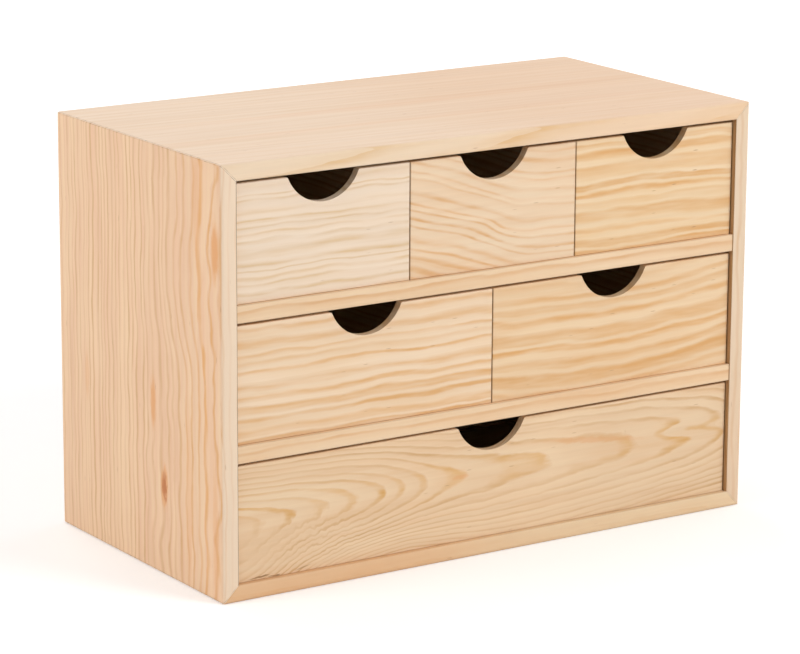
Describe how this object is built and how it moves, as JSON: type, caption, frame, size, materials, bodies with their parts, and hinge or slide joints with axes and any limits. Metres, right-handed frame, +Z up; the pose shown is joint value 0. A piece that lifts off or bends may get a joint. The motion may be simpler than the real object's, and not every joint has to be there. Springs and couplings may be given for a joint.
{
  "type": "desktop mini drawers",
  "caption": "Desktop chest of small raw pine drawers in a mitred case, with shelves between the rows and a round finger cut-out in the top edge of each drawer front.",
  "frame": {"origin": "middle of the underside of the case, on the surface that it stands on", "axes": "+X to the right along the width, -Y towards the drawer fronts, +Z up"},
  "size_m": [0.365, 0.188, 0.25],
  "materials": {
    "case_pine": "raw sanded pine, straight grain that runs round the case",
    "shelf_pine": "raw sanded pine, straight grain",
    "front_pine": "raw sanded pine, lively horizontal grain",
    "drawer_pine": "raw sanded pine, straight grain",
    "plywood": "raw thin birch plywood",
    "beech": "raw beech",
    "steel": "bright wire nails"
  },
  "bodies": {
    "case": {"top_board": "case_pine", "bottom_board": "case_pine", "left_side": "case_pine", "right_side": "case_pine", "upper_shelf": "shelf_pine", "lower_shelf": "shelf_pine", "back_panel": "plywood", "mitre_splines": "beech", "shelf_dowels": "beech", "back_panel_nails": "steel"},
    "top_left_drawer": {"top_left_drawer_front": "front_pine", "top_left_drawer_left_side": "drawer_pine", "top_left_drawer_right_side": "drawer_pine", "top_left_drawer_back": "drawer_pine", "top_left_drawer_bottom": "plywood", "top_left_drawer_pins": "steel"},
    "top_middle_drawer": {"top_middle_drawer_front": "front_pine", "top_middle_drawer_left_side": "drawer_pine", "top_middle_drawer_right_side": "drawer_pine", "top_middle_drawer_back": "drawer_pine", "top_middle_drawer_bottom": "plywood", "top_middle_drawer_pins": "steel"},
    "top_right_drawer": {"top_right_drawer_front": "front_pine", "top_right_drawer_left_side": "drawer_pine", "top_right_drawer_right_side": "drawer_pine", "top_right_drawer_back": "drawer_pine", "top_right_drawer_bottom": "plywood", "top_right_drawer_pins": "steel"},
    "middle_left_drawer": {"middle_left_drawer_front": "front_pine", "middle_left_drawer_left_side": "drawer_pine", "middle_left_drawer_right_side": "drawer_pine", "middle_left_drawer_back": "drawer_pine", "middle_left_drawer_bottom": "plywood", "middle_left_drawer_pins": "steel"},
    "middle_right_drawer": {"middle_right_drawer_front": "front_pine", "middle_right_drawer_left_side": "drawer_pine", "middle_right_drawer_right_side": "drawer_pine", "middle_right_drawer_back": "drawer_pine", "middle_right_drawer_bottom": "plywood", "middle_right_drawer_pins": "steel"},
    "bottom_drawer": {"bottom_drawer_front": "front_pine", "bottom_drawer_left_side": "drawer_pine", "bottom_drawer_right_side": "drawer_pine", "bottom_drawer_back": "drawer_pine", "bottom_drawer_bottom": "plywood", "bottom_drawer_pins": "steel"}
  },
  "joints": [
    {"name": "top_left_drawer_slide", "type": "slide", "parent": "case", "child": "top_left_drawer", "axis": [0, -1, 0], "range_m": [0, 0.16]},
    {"name": "top_middle_drawer_slide", "type": "slide", "parent": "case", "child": "top_middle_drawer", "axis": [0, -1, 0], "range_m": [0, 0.16]},
    {"name": "top_right_drawer_slide", "type": "slide", "parent": "case", "child": "top_right_drawer", "axis": [0, -1, 0], "range_m": [0, 0.16]},
    {"name": "middle_left_drawer_slide", "type": "slide", "parent": "case", "child": "middle_left_drawer", "axis": [0, -1, 0], "range_m": [0, 0.16]},
    {"name": "middle_right_drawer_slide", "type": "slide", "parent": "case", "child": "middle_right_drawer", "axis": [0, -1, 0], "range_m": [0, 0.16]},
    {"name": "bottom_drawer_slide", "type": "slide", "parent": "case", "child": "bottom_drawer", "axis": [0, -1, 0], "range_m": [0, 0.16]}
  ]
}
